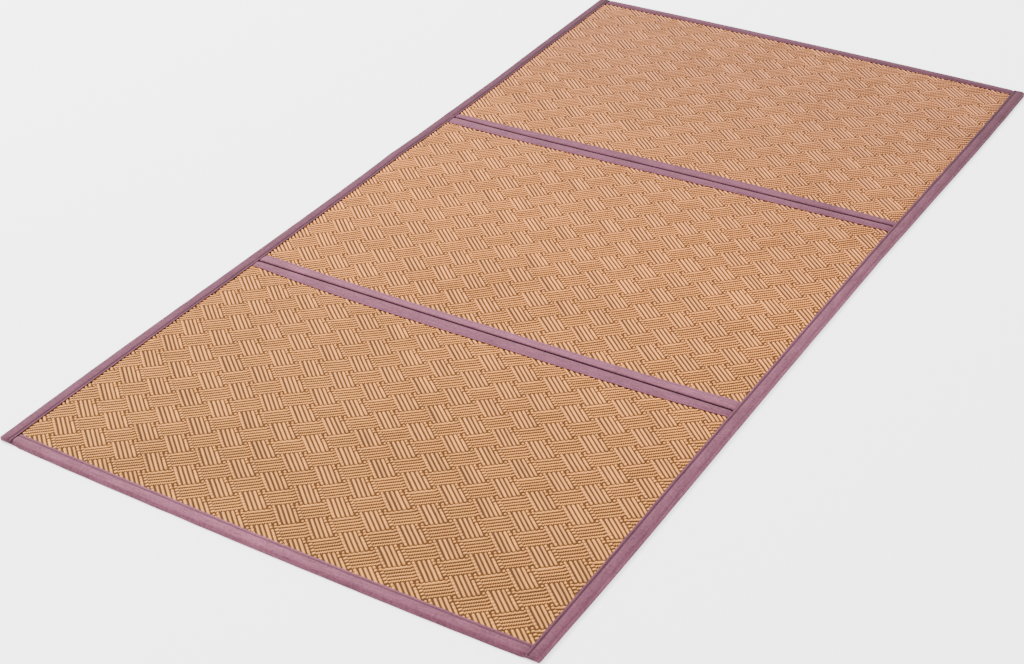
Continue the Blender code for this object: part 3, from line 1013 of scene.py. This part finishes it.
def add_key_light():
    data = bpy.data.lights.new("key", "AREA")
    data.shape = "RECTANGLE"
    data.size, data.size_y = KEY_SIZE
    data.energy = KEY_POWER
    light = bpy.data.objects.new("key", data)
    light.location = KEY_PLACE
    light.rotation_mode = "QUATERNION"
    light.rotation_quaternion = (-Vector(KEY_PLACE)).to_track_quat("-Z", "Y")
    bpy.context.scene.collection.objects.link(light)


def add_world():
    world = bpy.data.worlds.new("studio")
    world.use_nodes = True
    background = world.node_tree.nodes["Background"]
    background.inputs["Color"].default_value = WORLD_COLOUR
    background.inputs["Strength"].default_value = WORLD_STRENGTH
    bpy.context.scene.world = world


def add_camera():
    a, e = CAMERA_AZIMUTH, CAMERA_ELEVATION
    back = Vector((math.sin(a) * math.cos(e), -math.cos(a) * math.cos(e), math.sin(e)))
    level = Vector((0, 0, 1)).cross(back).normalized()
    upright = back.cross(level)
    lean, rest = math.sin(CAMERA_ROLL), math.cos(CAMERA_ROLL)
    right, up = rest * level + lean * upright, rest * upright - lean * level
    place = Vector(CAMERA_TARGET) + back * CAMERA_DISTANCE
    data = bpy.data.cameras.new("camera")
    data.lens = CAMERA_LENS
    data.sensor_width = 36.0
    data.clip_start, data.clip_end = 0.05, 60.0
    camera = bpy.data.objects.new("camera", data)
    camera.matrix_world = Matrix.Translation(place) @ Matrix((right, up, back)).transposed().to_4x4()
    bpy.context.scene.collection.objects.link(camera)
    bpy.context.scene.camera = camera


# The mat


def side_shape(rim, folds):
    """tuck, part, cut, shut and crease along a side binding."""
    y = rim.stations
    rows = np.array(END_ROWS)
    from_end = np.minimum(y - y[0], y[-1] - y)
    part = np.interp(from_end, rows[:, 0] * MM, rows[:, 1])
    cut = np.interp(from_end, rows[:, 0] * MM, rows[:, 2] * MM)
    shut = np.interp(from_end, rows[:, 0] * MM, rows[:, 3])
    crease = np.zeros_like(y)
    for fold in folds:
        crease = np.maximum(crease, 1 - smooth_step(np.abs(y - fold) / CREASE_REACH))
    return np.zeros_like(y), part, cut, shut, crease


def cross_shape(rim, left, right):
    """tuck, part, cut, shut and crease along a binding that ends inside the side bindings."""
    x, y = rim.stations, rim.face_line
    from_lip = np.minimum(x - left.lip(y), right.lip(y) - x)
    tuck = 1 - smooth_step((from_lip - PRESS_FULL) / (PRESS_START - PRESS_FULL))
    plain = np.ones_like(x)
    return tuck, plain, 0 * plain, 0 * plain, 0 * plain


def fold_places(x, crosses):
    return [(crosses[upper].face(x) + crosses[lower].face(x)) / 2 for upper, lower in FOLDS]


def build():
    cloth, thread = cloth_material(), thread_material()
    straw, core_look = straw_material(), core_material()
    left = Rim("side_binding_left", 1, -1)
    right = Rim("side_binding_right", 1, 1)
    crosses = {name: Rim(name, 0, outward) for name, outward in CROSS_BINDINGS}

    trims = {}
    for index, rim in enumerate((left, right, *crosses.values())):
        if rim.axis == 1:
            x = (rim.face(0.0) + rim.lip(0.0)) / 2
            shape = side_shape(rim, fold_places(x, crosses))
        else:
            shape = cross_shape(rim, left, right)
        rings, tone = binding(rim, *shape, BINDING_SEED + BINDING_SEEDS * index)
        trims[rim.name] = [binding_piece(rim, rings, tone, cloth), stitches(rim, rings, thread)]

    for index, (name, (near, far), chart) in enumerate(PANELS):
        panel = Panel(left, right, crosses[near], crosses[far])
        node = f"woven_panel_{name}"
        sheet = core(f"core_{name}", panel, node, core_look)
        strips = weave(name, panel, chart, WEAVE_SEED + WEAVE_SEEDS * index, straw)
        with_pieces = [strips, *trims[near], *trims[far]]
        if name == "middle":
            with_pieces += trims["side_binding_left"] + trims["side_binding_right"]


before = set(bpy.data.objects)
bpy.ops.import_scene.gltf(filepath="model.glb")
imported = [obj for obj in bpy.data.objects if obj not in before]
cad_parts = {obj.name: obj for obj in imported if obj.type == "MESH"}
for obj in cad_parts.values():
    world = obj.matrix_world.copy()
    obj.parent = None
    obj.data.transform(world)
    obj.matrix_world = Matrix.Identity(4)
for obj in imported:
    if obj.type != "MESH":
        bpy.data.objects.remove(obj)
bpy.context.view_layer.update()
build()
add_floor()
add_world()
add_key_light()
add_camera()
